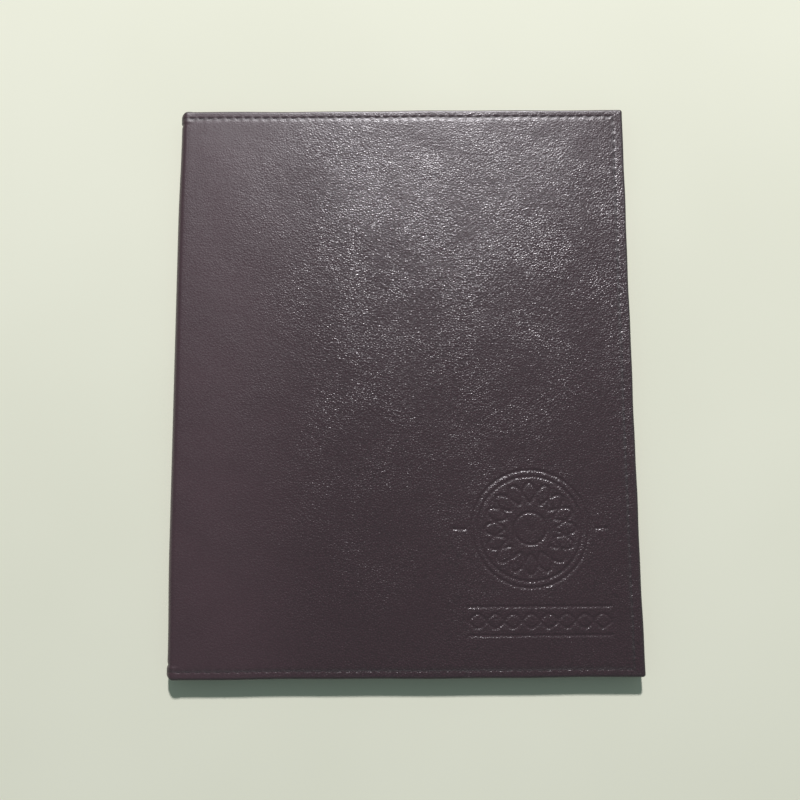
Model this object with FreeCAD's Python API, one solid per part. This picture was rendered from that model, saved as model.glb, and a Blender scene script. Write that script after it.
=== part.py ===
"""Leather notebook cover for an A4 writing pad, lying closed with its spine on the left.

Millimetres. The origin is on the resting face under the middle of the closed cover.
+X runs from the spine to the fore-edge, +Y to the head of the pages and +Z up, out of the front cover.

The cover is a stiffened front, a stiffened back and a soft spine between them. Each cover is drawn once, as the
back cover lies, and the front one is its mirror image in the plane half-way up.
"""

import FreeCAD
import Part

import os
from math import cos, pi, radians, sin

# Overall size
WIDTH = 250.0
HEIGHT = 312.0
THICKNESS = 10.0

# Layers of one cover, from the outside in
LEATHER = 0.8
FOAM = 0.5
BOARD = 1.0
TURN_IN = 0.35
LINING = 0.35

# Outline of one cover
HEM = 6.3
TURN_IN_WIDTH = 19.5
LINING_INSET = 2.0
CORNER_RADIUS = 1.5
HEM_ROUNDING = 0.9
GUTTER = 3.0

# Spine: a skin bent through two corners of this outer radius
SPINE_RADIUS = 4.0
HINGE_GAP_DEG = 1.5

# Perimeter seam
SEAM_INSET_ENDS = 4.1
SEAM_INSET_FORE = 5.3
GROOVE_WIDTH = 0.9
GROOVE_DEPTH = 0.55
THREAD_WIDTH = 0.7
THREAD_RECESS = 0.1
BOBBIN_GROOVE = 0.25
BOBBIN_RECESS = 0.03

# A4 writing pad
SHEET_WIDTH = 210.0
SHEET_HEIGHT = 297.0
SHEET_COUNT = 10
SHEET_PITCH = 0.1
SHEET = 0.085
PAD_CENTRE_X = 11.5
PAD_GAP = 0.05
PAD_BOARD = 0.5
BINDING = 0.1
BINDING_WRAP = 0.3
BINDING_DEPTH = 15.5
BINDING_FILLER_DEPTH = 11.5

# Pockets sewn to the linings
POCKET_FORE_EDGE_X = 118.8
POCKET_TAIL_Y = -151.0
PAD_POCKET_SPINE_X = -97.0
PAD_POCKET_MOUTH_Y = -60.0
PAD_POCKET_GUSSET = 0.6
DOCUMENT_POCKET_SPINE_X = -112.0
DOCUMENT_POCKET_MOUTH_Y = 20.0
DOCUMENT_POCKET_GUSSET = 0.3
POCKET_PANEL = 0.4
GUSSET_WIDTH = 2.0
CARD_POCKET = 0.35
CARD_POCKET_SPINE_X = 12.0
CARD_POCKET_WIDTH = 100.0
CARD_POCKET_TAIL_Y = -140.0
CARD_POCKET_MOUTHS_Y = {"upper": -68.0, "middle": -80.0, "lower": -92.0}
POCKET_SEAM_INSET = 1.2
POCKET_GROOVE_WIDTH = 0.6
POCKET_GROOVE_DEPTH = 0.15
POCKET_THREAD_WIDTH = 0.5
POCKET_THREAD = 0.12

# Elastic pen loop, lying flat in the gutter beside the pad
LOOP_SPINE_X = -115.5
LOOP_WIDTH = 17.0
LOOP_HEIGHT = 2.0
LOOP_TAPE = 0.8
LOOP_LENGTH = 20.0

# Places worked out from the sizes above
SPINE_X = -WIDTH / 2
FORE_X = WIDTH / 2
HEAD_Y = HEIGHT / 2
BEND_X = SPINE_X + SPINE_RADIUS
BOARD_SPINE_X = BEND_X + GUTTER
BOARD_FORE_X = FORE_X - HEM
BOARD_HEAD_Y = HEAD_Y - HEM
LINING_HEAD_Y = HEAD_Y - LINING_INSET
FOAM_TOP = LEATHER + FOAM
BOARD_TOP = FOAM_TOP + BOARD
TURN_IN_TOP = BOARD_TOP + TURN_IN
COVER_TOP = TURN_IN_TOP + LINING
LOWER_BEND_Z = SPINE_RADIUS
UPPER_BEND_Z = THICKNESS - SPINE_RADIUS
SEAM_Y = HEAD_Y - SEAM_INSET_ENDS
SEAM_X = FORE_X - SEAM_INSET_FORE


def box(x, y, z):
    """A block between pairs of limits."""
    return Part.makeBox(x[1] - x[0], y[1] - y[0], z[1] - z[0], FreeCAD.Vector(x[0], y[0], z[0]))


def both_ends(limits):
    """The same stretch of Y at the tail and at the head."""
    return [(-limits[1], -limits[0]), limits]


def fused(solids):
    """One solid from several that touch."""
    return solids[0].multiFuse(solids[1:]).removeSplitter()


def to_front(shape):
    """The matching shape on the front cover."""
    return shape.mirror(FreeCAD.Vector(0, 0, THICKNESS / 2), FreeCAD.Vector(0, 0, 1))


def bend_point(radius, degrees, centre_z):
    """A point on a spine corner. 180 degrees faces out of the spine, 270 degrees faces down."""
    angle = radians(degrees)
    return FreeCAD.Vector(BEND_X + radius * cos(angle), 0, centre_z + radius * sin(angle))


def bend_arc(radius, start, end, centre_z):
    points = [bend_point(radius, angle, centre_z) for angle in (start, (start + end) / 2, end)]
    return Part.Arc(*points).toShape()


def line(start, end):
    return Part.LineSegment(start, end).toShape()


def drawn_along_y(edges, y):
    """The solid of a closed outline in the XZ plane, between two values of Y."""
    face = Part.Face(Part.Wire(edges))
    face.translate(FreeCAD.Vector(0, y[0], 0))
    return face.extrude(FreeCAD.Vector(0, y[1] - y[0], 0))


def cover_bend(outer, inner, y):
    """The half of the lower spine corner that turns with the back cover."""
    last = 225 + HINGE_GAP_DEG / 2
    edges = [
        bend_arc(outer, 270, last, LOWER_BEND_Z),
        line(bend_point(outer, last, LOWER_BEND_Z), bend_point(inner, last, LOWER_BEND_Z)),
        bend_arc(inner, last, 270, LOWER_BEND_Z),
        line(bend_point(inner, 270, LOWER_BEND_Z), bend_point(outer, 270, LOWER_BEND_Z)),
    ]
    return drawn_along_y(edges, y)


def spine_strip(outer, inner, y):
    """A layer of the spine: the flat between the corners, and half of each corner."""
    low = 225 - HINGE_GAP_DEG / 2
    high = 135 + HINGE_GAP_DEG / 2
    edges = [
        bend_arc(outer, low, 180, LOWER_BEND_Z),
        line(bend_point(outer, 180, LOWER_BEND_Z), bend_point(outer, 180, UPPER_BEND_Z)),
        bend_arc(outer, 180, high, UPPER_BEND_Z),
        line(bend_point(outer, high, UPPER_BEND_Z), bend_point(inner, high, UPPER_BEND_Z)),
        bend_arc(inner, high, 180, UPPER_BEND_Z),
        line(bend_point(inner, 180, UPPER_BEND_Z), bend_point(inner, 180, LOWER_BEND_Z)),
        bend_arc(inner, 180, low, LOWER_BEND_Z),
        line(bend_point(inner, low, LOWER_BEND_Z), bend_point(outer, low, LOWER_BEND_Z)),
    ]
    return drawn_along_y(edges, y)


def strip(points, width, z):
    """A flat strip through points, in runs along X or Y."""
    half = width / 2
    runs = []
    for (x0, y0), (x1, y1) in zip(points, points[1:]):
        x = (min(x0, x1) - half, max(x0, x1) + half)
        y = (min(y0, y1) - half, max(y0, y1) + half)
        runs.append(box(x, y, z))
    return fused(runs) if len(runs) > 1 else runs[0]


def cover_seam(width, depths):
    """The perimeter seam of one cover between two depths under its face, from one spine corner to the other."""
    path = [(BEND_X + width / 2, SEAM_Y), (SEAM_X, SEAM_Y), (SEAM_X, -SEAM_Y), (BEND_X + width / 2, -SEAM_Y)]
    runs = [strip(path, width, depths)]
    for y in both_ends((SEAM_Y - width / 2, SEAM_Y + width / 2)):
        runs.append(cover_bend(SPINE_RADIUS - depths[0], SPINE_RADIUS - depths[1], y))
    return fused(runs)


def spine_seam(width, depths):
    """The two short runs of the perimeter seam that cross the spine."""
    runs = []
    for y in both_ends((SEAM_Y - width / 2, SEAM_Y + width / 2)):
        runs.append(spine_strip(SPINE_RADIUS - depths[0], SPINE_RADIUS - depths[1], y))
    return runs


def bobbin_path():
    """The seam seen from inside, on the lining."""
    return [(BOARD_SPINE_X + 1, SEAM_Y), (SEAM_X, SEAM_Y), (SEAM_X, -SEAM_Y), (BOARD_SPINE_X + 1, -SEAM_Y)]


def rounded_cover_blank():
    """The outline of a cover in leather, with its corners and hems rounded."""
    blank = box((BEND_X, FORE_X), (-HEAD_Y, HEAD_Y), (0, TURN_IN_TOP))
    upright = [
        edge
        for edge in blank.Edges
        if abs(edge.BoundBox.XMin - FORE_X) < 0.01 and edge.BoundBox.ZLength > TURN_IN_TOP / 2
    ]
    blank = blank.makeFillet(CORNER_RADIUS, upright)
    hems = [
        edge
        for edge in blank.Edges
        if edge.BoundBox.ZLength < 0.01 and edge.BoundBox.XMax > BEND_X + 0.01
    ]
    return blank.makeFillet(HEM_ROUNDING, hems)


def cover_leather():
    """The leather of one cover: its face, its half of the spine corner, and the hems turned in over the board."""
    inside_y = (-BOARD_HEAD_Y, BOARD_HEAD_Y)
    window_y = (-HEAD_Y + TURN_IN_WIDTH, HEAD_Y - TURN_IN_WIDTH)
    skin = rounded_cover_blank()
    skin = skin.cut(box((BEND_X - 1, BOARD_SPINE_X), (-HEAD_Y - 1, HEAD_Y + 1), (FOAM_TOP, THICKNESS)))
    skin = skin.cut(box((BEND_X - 1, BOARD_FORE_X), inside_y, (LEATHER, FOAM_TOP)))
    skin = skin.cut(box((BOARD_SPINE_X - 1, BOARD_FORE_X), inside_y, (FOAM_TOP, BOARD_TOP)))
    skin = skin.cut(box((BOARD_SPINE_X - 1, FORE_X - TURN_IN_WIDTH), window_y, (BOARD_TOP, THICKNESS)))
    bends = [cover_bend(SPINE_RADIUS, SPINE_RADIUS - LEATHER, (-HEAD_Y, HEAD_Y))]
    for y in both_ends((BOARD_HEAD_Y, HEAD_Y)):
        bends.append(cover_bend(SPINE_RADIUS - LEATHER, SPINE_RADIUS - FOAM_TOP, y))
    return fused([skin] + bends).cut(cover_seam(GROOVE_WIDTH, (0, GROOVE_DEPTH)))


def cover_foam():
    """The thin foam under the leather, which goes on round the spine corner."""
    y = (-BOARD_HEAD_Y, BOARD_HEAD_Y)
    flat = box((BEND_X, BOARD_FORE_X), y, (LEATHER, FOAM_TOP))
    return fused([flat, cover_bend(SPINE_RADIUS - LEATHER, SPINE_RADIUS - FOAM_TOP, y)])


def cover_board():
    return box((BOARD_SPINE_X, BOARD_FORE_X), (-BOARD_HEAD_Y, BOARD_HEAD_Y), (FOAM_TOP, BOARD_TOP))


def cover_lining():
    """The lining: over the turned-in hems, down into the window between them, and down off the board at the spine."""
    y = (-LINING_HEAD_Y, LINING_HEAD_Y)
    window_y = (-HEAD_Y + TURN_IN_WIDTH, HEAD_Y - TURN_IN_WIDTH)
    pieces = [
        box((BOARD_SPINE_X, FORE_X - LINING_INSET), y, (TURN_IN_TOP, COVER_TOP)),
        box((BOARD_SPINE_X, FORE_X - TURN_IN_WIDTH), window_y, (BOARD_TOP, TURN_IN_TOP)),
        box((BOARD_SPINE_X - LINING, BOARD_SPINE_X), y, (FOAM_TOP, COVER_TOP)),
        box((BEND_X, BOARD_SPINE_X - LINING), y, (FOAM_TOP, FOAM_TOP + LINING)),
        cover_bend(SPINE_RADIUS - FOAM_TOP, SPINE_RADIUS - FOAM_TOP - LINING, y),
    ]
    groove = strip(bobbin_path(), GROOVE_WIDTH, (COVER_TOP - BOBBIN_GROOVE, COVER_TOP))
    return fused(pieces).cut(groove)


def cover_bobbin_thread():
    z = (COVER_TOP - BOBBIN_GROOVE + BOBBIN_RECESS, COVER_TOP - BOBBIN_RECESS)
    return strip(bobbin_path(), THREAD_WIDTH, z)


def spine_leather():
    """The leather over the spine, thicker at head and tail where it is turned in."""
    layers = [spine_strip(SPINE_RADIUS, SPINE_RADIUS - LEATHER, (-HEAD_Y, HEAD_Y))]
    for y in both_ends((BOARD_HEAD_Y, HEAD_Y)):
        layers.append(spine_strip(SPINE_RADIUS - LEATHER, SPINE_RADIUS - FOAM_TOP, y))
    leather = fused(layers)
    for groove in spine_seam(GROOVE_WIDTH, (0, GROOVE_DEPTH)):
        leather = leather.cut(groove)
    return leather


def u_path(x, tail_y, mouth_y):
    return [(x[0], mouth_y), (x[0], tail_y), (x[1], tail_y), (x[1], mouth_y)]


def pocket_seam_path(x, tail_y, mouth_y):
    """The seam round a pocket, a little inside its edges and open at the mouth."""
    inset = POCKET_SEAM_INSET
    return u_path((x[0] + inset, x[1] - inset), tail_y + inset, mouth_y - inset)


def pocket_gusset(x, tail_y, mouth_y, z):
    """Three spacer strips that hold a pocket's panel off the lining."""
    return [
        box((x[0], x[0] + GUSSET_WIDTH), (tail_y, mouth_y), z),
        box((x[1] - GUSSET_WIDTH, x[1]), (tail_y, mouth_y), z),
        box((x[0] + GUSSET_WIDTH, x[1] - GUSSET_WIDTH), (tail_y, tail_y + GUSSET_WIDTH), z),
    ]


def seams(paths, z):
    """Grooves in the top of a panel that lies between two heights, and the threads in them."""
    groove_z = (z[1] - POCKET_GROOVE_DEPTH, z[1])
    thread_z = (groove_z[0], groove_z[0] + POCKET_THREAD)
    grooves = [strip(path, POCKET_GROOVE_WIDTH, groove_z) for path in paths]
    return grooves, [strip(path, POCKET_THREAD_WIDTH, thread_z) for path in paths]


def pocket(x, mouth_y, gusset_height):
    """A pocket across a cover: its gusset, its panel and its thread."""
    gusset_top = COVER_TOP + gusset_height
    panel_z = (gusset_top, gusset_top + POCKET_PANEL)
    grooves, threads = seams([pocket_seam_path(x, POCKET_TAIL_Y, mouth_y)], panel_z)
    panel = box(x, (POCKET_TAIL_Y, mouth_y), panel_z).cut(grooves)
    gusset = pocket_gusset(x, POCKET_TAIL_Y, mouth_y, (COVER_TOP, gusset_top))
    return gusset, panel, threads, panel_z[1]


def card_pockets(base_z):
    """Three card pockets, one on the other, each lower at its mouth than the one behind it."""
    x = (CARD_POCKET_SPINE_X, CARD_POCKET_SPINE_X + CARD_POCKET_WIDTH)
    mouths = list(CARD_POCKET_MOUTHS_Y.items())
    panels = {}
    threads = []
    for level, (name, mouth_y) in enumerate(mouths):
        z = (base_z + level * CARD_POCKET, base_z + (level + 1) * CARD_POCKET)
        y = (CARD_POCKET_TAIL_Y, mouth_y)
        paths = [pocket_seam_path(x, *y)]
        if level < len(mouths) - 1:
            side_y = (mouths[level + 1][1] + POCKET_SEAM_INSET, mouth_y - POCKET_SEAM_INSET)
            sides = (x[0] + POCKET_SEAM_INSET, x[1] - POCKET_SEAM_INSET)
            paths = [[(side_x, side_y[0]), (side_x, side_y[1])] for side_x in sides]
        grooves, level_threads = seams(paths, z)
        panels[name] = box(x, y, z).cut(grooves)
        threads.extend(level_threads)
    return panels, threads


def stadium(x, z, y):
    """A bar with round ends, lying along X."""
    radius = (z[1] - z[0]) / 2
    middle = (z[0] + z[1]) / 2
    bar = box((x[0] + radius, x[1] - radius), y, z)
    ends = [
        Part.makeCylinder(radius, y[1] - y[0], FreeCAD.Vector(end_x, y[0], middle), FreeCAD.Vector(0, 1, 0))
        for end_x in (x[0] + radius, x[1] - radius)
    ]
    return fused([bar] + ends)


def pen_loop():
    """A loop of elastic tape, pressed flat."""
    x = (LOOP_SPINE_X, LOOP_SPINE_X + LOOP_WIDTH)
    z = (COVER_TOP, COVER_TOP + LOOP_HEIGHT)
    y = (-LOOP_LENGTH / 2, LOOP_LENGTH / 2)
    outer = stadium(x, z, y)
    slot_x = (x[0] + LOOP_TAPE, x[1] - LOOP_TAPE)
    slot_z = (z[0] + LOOP_TAPE, z[1] - LOOP_TAPE)
    return outer.cut(stadium(slot_x, slot_z, (y[0] - 1, y[1] + 1)))


def writing_pad():
    """The pad: its backing board in the pocket, its sheets over the pocket, and the binding at the head."""
    x = (PAD_CENTRE_X - SHEET_WIDTH / 2, PAD_CENTRE_X + SHEET_WIDTH / 2)
    head_y = SHEET_HEIGHT / 2
    board_z = (COVER_TOP + PAD_GAP, COVER_TOP + PAD_GAP + PAD_BOARD)
    first_z = COVER_TOP + PAD_POCKET_GUSSET + POCKET_PANEL + PAD_GAP
    sheets = []
    for number in range(SHEET_COUNT):
        bottom = first_z + number * SHEET_PITCH
        sheets.append(box(x, (-head_y, head_y), (bottom, bottom + SHEET)))
    last_z = first_z + SHEET_COUNT * SHEET_PITCH
    binding = [
        box(x, (head_y - BINDING_FILLER_DEPTH, head_y), (board_z[1], first_z)),
        box(x, (head_y, head_y + BINDING_WRAP), (board_z[0], last_z + BINDING)),
        box(x, (head_y - BINDING_DEPTH, head_y), (last_z, last_z + BINDING)),
    ]
    return box(x, (-head_y, head_y), board_z), sheets, fused(binding)


def cover_nodes():
    """The pieces that both covers have, named for each."""
    thread_depths = (THREAD_RECESS, GROOVE_DEPTH)
    pieces = {
        "leather": cover_leather(),
        "foam": cover_foam(),
        "board": cover_board(),
        "lining": cover_lining(),
        "seam_thread": cover_seam(THREAD_WIDTH, thread_depths),
        "bobbin_thread": cover_bobbin_thread(),
    }
    nodes = {}
    for name, shape in pieces.items():
        nodes["back_" + name] = [shape]
        nodes["front_" + name] = [to_front(shape)]
    return nodes


def spine_nodes():
    inside_y = (-BOARD_HEAD_Y, BOARD_HEAD_Y)
    lining_y = (-LINING_HEAD_Y, LINING_HEAD_Y)
    foam_radius = SPINE_RADIUS - FOAM_TOP
    return {
        "spine_leather": [spine_leather()],
        "spine_reinforcement": [spine_strip(SPINE_RADIUS - LEATHER, foam_radius, inside_y)],
        "spine_lining": [spine_strip(foam_radius, foam_radius - LINING, lining_y)],
        "spine_seam_thread": spine_seam(THREAD_WIDTH, (THREAD_RECESS, GROOVE_DEPTH)),
    }


def pocket_nodes():
    pad_x = (PAD_POCKET_SPINE_X, POCKET_FORE_EDGE_X)
    pad_gusset, pad_panel, pad_threads, _ = pocket(pad_x, PAD_POCKET_MOUTH_Y, PAD_POCKET_GUSSET)
    document_x = (DOCUMENT_POCKET_SPINE_X, POCKET_FORE_EDGE_X)
    gusset, panel, threads, top_z = pocket(document_x, DOCUMENT_POCKET_MOUTH_Y, DOCUMENT_POCKET_GUSSET)
    cards, card_threads = card_pockets(top_z)
    nodes = {
        "pad_pocket_gusset": pad_gusset,
        "pad_pocket_panel": [pad_panel],
        "pad_pocket_thread": pad_threads,
        "pen_loop": [pen_loop()],
        "document_pocket_gusset": [to_front(piece) for piece in gusset],
        "document_pocket_panel": [to_front(panel)],
        "document_pocket_thread": [to_front(piece) for piece in threads],
        "card_pocket_thread": [to_front(piece) for piece in card_threads],
    }
    for name, shape in cards.items():
        nodes["card_pocket_" + name] = [to_front(shape)]
    return nodes


def pad_nodes():
    board, sheets, binding = writing_pad()
    return {"pad_backing_board": [board], "pad_sheets": sheets, "pad_binding": [binding]}


def main():
    os.makedirs("parts", exist_ok=True)
    nodes = {**cover_nodes(), **spine_nodes(), **pocket_nodes(), **pad_nodes()}
    for name, solids in nodes.items():
        shape = solids[0] if len(solids) == 1 else Part.makeCompound(solids)
        shape.exportStep(f"parts/{name}.step")
    hinge_offset = SPINE_RADIUS * (1 - pi / 4)
    print(f"{len(nodes)} nodes; hinge lines {hinge_offset:.3f} mm in from the outer faces")


main()
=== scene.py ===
"""Looks of the leather notebook cover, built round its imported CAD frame.

Shapes are worked out in millimetres, in the frame's own axes: +X to the fore-edge, +Y to the head, +Z up.
They are turned into metres as each mesh is made. The skin and the lining are drawn unrolled: u runs from the
middle of the spine round its corner and across a cover, y runs along the spine, and depth goes in from the
outer face.
"""

from math import atan2, ceil, cos, exp, hypot, pi, radians, sin, sqrt, tau

import bpy
import numpy as np
from mathutils import Matrix, Vector

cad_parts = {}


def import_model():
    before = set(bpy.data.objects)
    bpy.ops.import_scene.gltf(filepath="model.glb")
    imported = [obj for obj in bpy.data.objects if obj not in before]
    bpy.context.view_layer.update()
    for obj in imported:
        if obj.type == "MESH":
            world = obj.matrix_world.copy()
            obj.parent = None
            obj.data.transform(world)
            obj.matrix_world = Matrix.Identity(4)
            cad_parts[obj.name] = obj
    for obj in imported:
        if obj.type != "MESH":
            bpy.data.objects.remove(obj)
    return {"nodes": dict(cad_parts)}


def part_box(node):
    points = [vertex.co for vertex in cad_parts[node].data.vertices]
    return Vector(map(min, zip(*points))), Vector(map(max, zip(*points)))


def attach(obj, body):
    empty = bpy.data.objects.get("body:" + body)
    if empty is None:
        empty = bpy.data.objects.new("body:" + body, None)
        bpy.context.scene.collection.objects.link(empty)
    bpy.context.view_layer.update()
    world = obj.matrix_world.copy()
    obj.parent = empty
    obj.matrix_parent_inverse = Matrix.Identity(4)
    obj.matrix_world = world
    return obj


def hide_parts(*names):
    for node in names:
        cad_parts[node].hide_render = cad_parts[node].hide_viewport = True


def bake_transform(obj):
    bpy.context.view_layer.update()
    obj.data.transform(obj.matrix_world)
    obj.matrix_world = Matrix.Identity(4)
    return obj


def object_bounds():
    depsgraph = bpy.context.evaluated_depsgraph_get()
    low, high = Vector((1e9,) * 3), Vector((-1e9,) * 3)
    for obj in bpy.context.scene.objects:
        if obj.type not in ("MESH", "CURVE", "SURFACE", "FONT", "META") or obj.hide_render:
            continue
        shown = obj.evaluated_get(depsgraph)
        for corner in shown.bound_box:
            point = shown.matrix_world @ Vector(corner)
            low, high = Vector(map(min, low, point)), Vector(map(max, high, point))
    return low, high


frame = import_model()
cad_low, cad_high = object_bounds()

MM = 0.001

# The frame's own places
SPINE_X, _, FLOOR_Z = (value / MM for value in cad_low)
FORE_X, HEAD_Y, TOP_Z = (value / MM for value in cad_high)
BOARD_SPINE_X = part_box("back_board")[0].x / MM
BOARD_FORE_X, BOARD_HEAD_Y = (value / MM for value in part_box("back_board")[1].xy)
LINING_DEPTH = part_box("back_lining")[1].z / MM
LINING_HEAD_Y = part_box("back_lining")[1].y / MM
LINING_FORE_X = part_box("back_lining")[1].x / MM
LEATHER_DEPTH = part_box("back_leather")[1].z / MM

# The spine's corners
BEND_RADIUS = 4.0
BEND_X = SPINE_X + BEND_RADIUS
MID_Z = TOP_Z / 2
SPINE_FLAT = MID_Z - BEND_RADIUS
BEND_END = SPINE_FLAT + BEND_RADIUS * pi / 2
SPINE_LEATHER_DEPTH = 1.3
SPINE_LINING_DEPTH = 1.65
BOARD_SLOPE = (BOARD_SPINE_X - 1.2, BOARD_SPINE_X + 0.5)
LAYER_DEPTHS = (0.85, 1.25)

# Perimeter seam
SEAM_INSET_ENDS = 4.1
SEAM_INSET_FORE = 5.3
SEAM_X = FORE_X - SEAM_INSET_FORE
SEAM_Y = HEAD_Y - SEAM_INSET_ENDS
STITCHES_ACROSS = 46
STITCHES_ALONG = 58
PITCH_ACROSS = (SEAM_X - BEND_X) / STITCHES_ACROSS
PITCH_ALONG = 2 * SEAM_Y / STITCHES_ALONG
FIELD_X = SEAM_X - PITCH_ACROSS
FIELD_Y = SEAM_Y - PITCH_ALONG

# Fineness: stations in a stitch, stations in a cell of the field, and how finely a pressed cell is cut
FINE = 10
CELL = 5
PRESSED_CELL = 6

# Outer edges aren't quite straight, and the bows fade out this far inside them
BOW_REACH = 26.0

# Hem
HEM_CORNER = 1.5
HEM_ROUNDING = 1.25
HEM_UNDER_ROUNDING = 0.8
CORNER_STEPS = 3

# Threads: how deep a stitch lies or how far it stands up, how much deeper its ends dip, its radius, and the
# share of it that is lost in each hole
NEEDLE_REST = 0.32
NEEDLE = {"dip": 0.5, "radius": 0.37, "gap": 0.14}
BOBBIN_RISE = 0.21
BOBBIN = {"dip": 0.16, "radius": 0.22, "gap": 0.04}
POCKET_THREAD_RISE = 0.12
POCKET_THREAD = {"dip": 0.16, "radius": 0.2, "gap": 0.04}

# Pressed ornament, low on the fore-edge side of the front cover
ORNAMENT_X = 67.0
ORNAMENT_Y = -79.0
BAND_X = 71.0
BAND_Y = -127.0
PRESS_WIDTH = 1.1
PRESS_WALL = 0.55
PRESS_DEPTH = 0.2
RINGS = (31.0, 27.6, 8.5)
LOBES = 8
LOBE_RADIUS = 19.0
LOBE_SWING = 5.2
DASH = (34.0, 41.5)
BAND_HALF_LENGTH = 37.5
BAND_HALF_HEIGHT = 7.4
WAVE_HEIGHT = 3.6
WAVE_LENGTH = 18.75

# Pockets
PLATE_SEAM = 1.3
PLATE_PITCH = 3.4
PLATE_ROUNDING = 0.16
MOUTH_HEM = 4.6


def lerp(a, b, t):
    return a + (b - a) * t


def between(start, end, t):
    """The place at share t of the way from start to end."""
    return tuple(lerp(a, b, t) for a, b in zip(start, end))


def box_mm(node):
    """The lowest and the highest corner of a CAD node, in millimetres."""
    return [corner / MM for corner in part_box(node)]


def smooth(edge0, edge1, value):
    t = min(1.0, max(0.0, (value - edge0) / (edge1 - edge0)))
    return t * t * (3 - 2 * t)


def bell(value, width):
    return exp(-((value / width) ** 2))


# ---------------- unrolled covers


def cover_path(u):
    """The outer face of the back cover at u: x, z, and the direction inwards."""
    if u < SPINE_FLAT:
        return SPINE_X, MID_Z - u, 1.0, 0.0
    angle = (u - SPINE_FLAT) / BEND_RADIUS
    if angle < pi / 2:
        return BEND_X - BEND_RADIUS * cos(angle), BEND_RADIUS * (1 - sin(angle)), cos(angle), sin(angle)
    return BEND_X + u - BEND_END, 0.0, 0.0, 1.0


def u_of(x):
    return x - BEND_X + BEND_END


def x_of(u):
    return u - BEND_END + BEND_X


def spine_bow(y):
    """How far the spine's edge stands in: it is a little fuller in the middle than at its ends."""
    return 0.85 * smooth(0.58, 0.92, abs(y / HEAD_Y)) - 0.2


def fore_bow(y):
    """How far the fore-edge stands out: its corners flare a little, and it isn't quite straight."""
    return 0.5 * abs(y / HEAD_Y) ** 3 - 0.2 + 0.1 * sin(y / 13.0) + 0.07 * sin(y / 5.3 + 1.0)


def end_bow(x):
    """How far the head and tail edges stand out along their length."""
    return 0.15 * sin(x / 25.0 + 0.6) + 0.09 * sin(x / 8.3)


def near_rim(distance):
    """1 at an outer edge of a cover, fading to 0 well inside it."""
    return max(0.0, 1 - distance / BOW_REACH) ** 2


def placed(u, y, depth, front):
    """The point of a cover at (u, y), depth millimetres inside its outer face."""
    x, z, inward_x, inward_z = cover_path(u)
    shift_y = end_bow(x) * near_rim(HEAD_Y - abs(y)) * smooth(BEND_END, BEND_END + 8, u)
    x += depth * inward_x + spine_bow(y) * near_rim(u) + fore_bow(y) * near_rim(FORE_X - x)
    z += depth * inward_z
    return x, y + (shift_y if y > 0 else -shift_y), TOP_Z - z if front else z


def over_board(u):
    """0 in the gutter and round the spine, 1 where the board lies under the lining."""
    return smooth(*BOARD_SLOPE, x_of(u))


def leather_thickness(u):
    return lerp(SPINE_LEATHER_DEPTH, LEATHER_DEPTH, over_board(u))


def lining_depth(u):
    return lerp(SPINE_LINING_DEPTH, LINING_DEPTH, over_board(u))


def cover_stations():
    """The grid's stations in u and in y: where they are, which of them cells begin at, and their phases. A
    phase is how far a station is along its stitch, from 0 at one needle hole to 1 at the next."""
    bend = [SPINE_FLAT * step / 2 for step in range(2)]
    bend += [lerp(SPINE_FLAT, BEND_END, step / 14) for step in range(14)]
    across = (STITCHES_ACROSS - 1) * FINE
    us = bend + [BEND_END + PITCH_ACROSS * step / FINE for step in range(across + 1)]
    cells_u = list(range(len(bend))) + [len(bend) + index for index in range(0, across + 1, CELL)]
    phases_u = [((u - BEND_END) / PITCH_ACROSS) % 1.0 for u in us]
    phases_u = [0.0 if phase > 0.999 else phase for phase in phases_u]
    along = (STITCHES_ALONG - 2) * FINE
    ys = [-FIELD_Y + PITCH_ALONG * step / FINE for step in range(along + 1)]
    cells_y = list(range(0, along + 1, CELL))
    phases_y = [(index % FINE) / FINE for index in range(along + 1)]
    return us, cells_u, phases_u, ys, cells_y, phases_y


US, CELLS_U, PHASES_U, YS, CELLS_Y, PHASES_Y = cover_stations()


# ---------------- mesh making


def shown_object(name, data):
    """Puts an object in the scene."""
    made = bpy.data.objects.new(name, data)
    bpy.context.scene.collection.objects.link(made)
    return made


class Maker:
    """Gathers points and faces. Points at the same place are one. Each keeps its unrolled place, which the
    materials read, and how dark and dull it is drawn: partly rubbed wear, partly painted shade."""

    def __init__(self):
        self.points = []
        self.unrolled = []
        self.wear_and_shade = []
        self.known = {}
        self.faces = []

    def point(self, place, unrolled=None, wear_and_shade=0.0):
        key = tuple(round(value * 2000) for value in place)
        if key not in self.known:
            self.known[key] = len(self.points)
            self.points.append(place)
            self.unrolled.append(unrolled or place)
            self.wear_and_shade.append(wear_and_shade)
        return self.known[key]

    def face(self, corners):
        kept = []
        for corner in corners:
            if not kept or corner != kept[-1]:
                kept.append(corner)
        if len(kept) > 1 and kept[0] == kept[-1]:
            kept.pop()
        if len(set(kept)) == len(kept) > 2:
            self.faces.append(kept)

    def grid(self, rows, closed=False):
        """Quads between rows of points, which closed joins end to end."""
        for low, high in zip(rows, rows[1:]):
            count = len(low)
            for i in range(count if closed else count - 1):
                j = (i + 1) % count
                self.face([low[i], low[j], high[j], high[i]])

    def made(self, name, material, flip=False, smooth_shaded=True):
        mesh = bpy.data.meshes.new(name)
        faces = [face[::-1] for face in self.faces] if flip else self.faces
        mesh.from_pydata([[value * MM for value in point] for point in self.points], [], faces)
        unrolled = mesh.attributes.new("unrolled", "FLOAT_VECTOR", "POINT")
        unrolled.data.foreach_set("vector", np.array(self.unrolled, np.float32).ravel())
        wear_and_shade = mesh.attributes.new("wear_and_shade", "FLOAT", "POINT")
        wear_and_shade.data.foreach_set("value", np.array(self.wear_and_shade, np.float32))
        mesh.polygons.foreach_set("use_smooth", [smooth_shaded] * len(mesh.polygons))
        mesh.materials.append(material)
        mesh.validate()
        mesh.update()
        return shown_object(name, mesh)


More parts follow.
